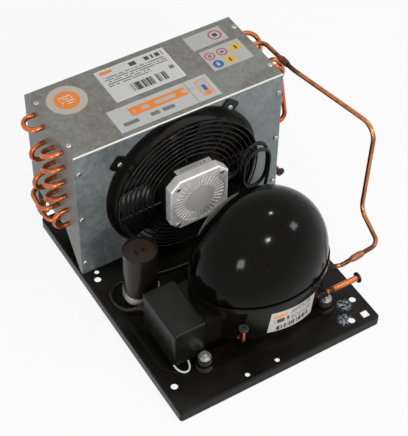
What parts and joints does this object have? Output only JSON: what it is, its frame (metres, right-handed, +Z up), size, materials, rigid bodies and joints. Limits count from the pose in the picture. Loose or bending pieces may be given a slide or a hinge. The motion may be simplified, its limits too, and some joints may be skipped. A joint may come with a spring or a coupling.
{
  "type": "refrigeration condensing unit",
  "caption": "Air-cooled condensing unit: hermetic compressor, fan motor in a ring and finned copper coil in a shroud, on a black tray with open pipe stubs.",
  "frame": {"origin": "centre of the four tray mounting holes, on the tray's top face", "axes": "+X towards the discharge side, +Y from the compressor to the condenser, +Z up"},
  "size_m": [0.3775, 0.3844, 0.2287],
  "materials": {
    "bare_steel": "machined steel",
    "black_paint": "black semi-gloss paint over sheet and cast steel",
    "black_plastic": "black moulded plastic",
    "blade_paint": "black painted sheet",
    "cast_aluminium": "die-cast aluminium",
    "cast_iron": "grey cast iron",
    "copper": "bare copper tube, heat tinted at joints",
    "enamel_wire": "enamelled copper winding",
    "fin_aluminium": "thin bare aluminium",
    "galvanised": "galvanised sheet steel, dull grey-green",
    "lamination": "stacked silicon-steel laminations",
    "rubber": "black rubber",
    "sticker": "blank white sticker",
    "white_jacket": "white lead jacket",
    "zinc_steel": "bright zinc plated steel"
  },
  "bodies": {
    "unit": {"tray": "black_paint", "condenser_shroud": "galvanised", "coil_end_plate_left": "galvanised", "coil_end_plate_right": "galvanised", "condenser_fins": "fin_aluminium", "condenser_tubes": "copper", "return_bends_left": "copper", "return_bends_right": "copper", "pan_head_screws": "zinc_steel", "fan_ring": "black_paint", "fan_guard": "black_paint", "fan_motor_cover": "cast_aluminium", "fan_motor_housing": "black_paint", "fan_motor_bearings": "bare_steel", "fan_motor_stator": "lamination", "fan_motor_winding": "enamel_wire", "fan_motor_gland": "rubber", "compressor_lower_shell": "black_paint", "compressor_upper_shell": "black_paint", "compressor_feet": "black_paint", "mount_grommets": "rubber", "mount_sleeves": "zinc_steel", "mount_bolts": "zinc_steel", "mount_nuts": "zinc_steel", "compressor_stator": "lamination", "compressor_windings": "enamel_wire", "compressor_stator_bolts": "bare_steel", "compressor_cylinder_block": "cast_iron", "compressor_valve_plate": "bare_steel", "compressor_cylinder_head": "cast_iron", "compressor_springs": "bare_steel", "compressor_spring_seats": "bare_steel", "hermetic_terminal": "bare_steel", "start_relay": "black_plastic", "terminal_bracket": "zinc_steel", "terminal_cover": "black_plastic", "start_capacitor": "black_plastic", "capacitor_terminals": "black_plastic", "capacitor_clip": "zinc_steel", "port_sockets": "black_paint", "suction_stub": "copper", "process_stub": "copper", "discharge_line": "copper", "discharge_swages": "copper", "liquid_outlet": "copper", "labels": "sticker", "fan_cable": "rubber", "earth_lead": "white_jacket"},
    "fan": {"fan_blade": "blade_paint", "fan_shaft": "bare_steel", "fan_motor_rotor": "lamination", "fan_blade_nut": "zinc_steel"},
    "crank": {"compressor_crankshaft": "bare_steel", "compressor_rotor": "lamination"},
    "piston": {"compressor_piston": "cast_iron", "compressor_wrist_pin": "bare_steel", "compressor_connecting_rod": "cast_iron"},
    "plug_suction": {"suction_plug": "rubber"},
    "plug_process": {"process_plug": "rubber"},
    "plug_liquid": {"liquid_plug": "rubber"}
  },
  "joints": [
    {"name": "fan_spin", "type": "hinge", "parent": "unit", "child": "fan", "pos_m": [0.0042, 0.117, 0.10585], "axis": [0, 1, 0], "continuous": true},
    {"name": "crank_spin", "type": "hinge", "parent": "unit", "child": "crank", "pos_m": [0.0226, -0.0413, 0.06], "axis": [0, 0, 1], "continuous": true},
    {"name": "piston_stroke", "type": "slide", "parent": "unit", "child": "piston", "axis": [-1, 0, 0], "range_m": [0, 0.016]},
    {"name": "suction_plug_pull", "type": "slide", "parent": "unit", "child": "plug_suction", "axis": [1, 0, 0], "range_m": [0, 0.03]},
    {"name": "process_plug_pull", "type": "slide", "parent": "unit", "child": "plug_process", "axis": [0, 0, 1], "range_m": [0, 0.03]},
    {"name": "liquid_plug_pull", "type": "slide", "parent": "unit", "child": "plug_liquid", "axis": [0, -1, 0], "range_m": [0, 0.03]}
  ]
}
